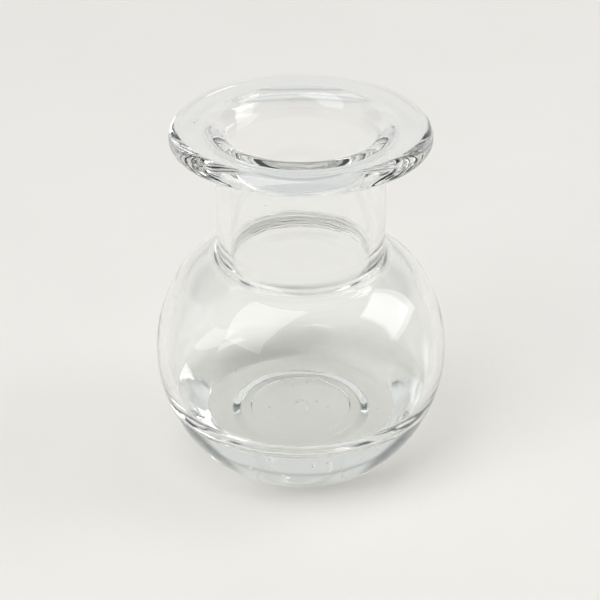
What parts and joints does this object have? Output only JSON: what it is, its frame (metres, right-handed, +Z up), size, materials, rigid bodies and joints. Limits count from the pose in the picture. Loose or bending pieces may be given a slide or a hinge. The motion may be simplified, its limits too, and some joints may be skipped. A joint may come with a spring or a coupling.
{
  "type": "glass wasp trap jar",
  "caption": "Clear glass jar with a thick kicked base, a ball-shaped bowl, a straight neck and a wide rounded lip; holds bait, and hangs by its neck or stands.",
  "frame": {"origin": "centre of the ring that the jar stands on, at table height", "axes": "+Z up along the jar's axis of revolution, from the base to the lip; +X and +Y are alike"},
  "size_m": [0.1, 0.1, 0.1215],
  "materials": {
    "clear_glass": "clear soda-lime glass, fire polished, with a faint grey-green tint"
  },
  "bodies": {
    "root": {"base": "clear_glass", "bowl": "clear_glass", "shoulder": "clear_glass", "neck": "clear_glass", "lip": "clear_glass"}
  },
  "joints": []
}
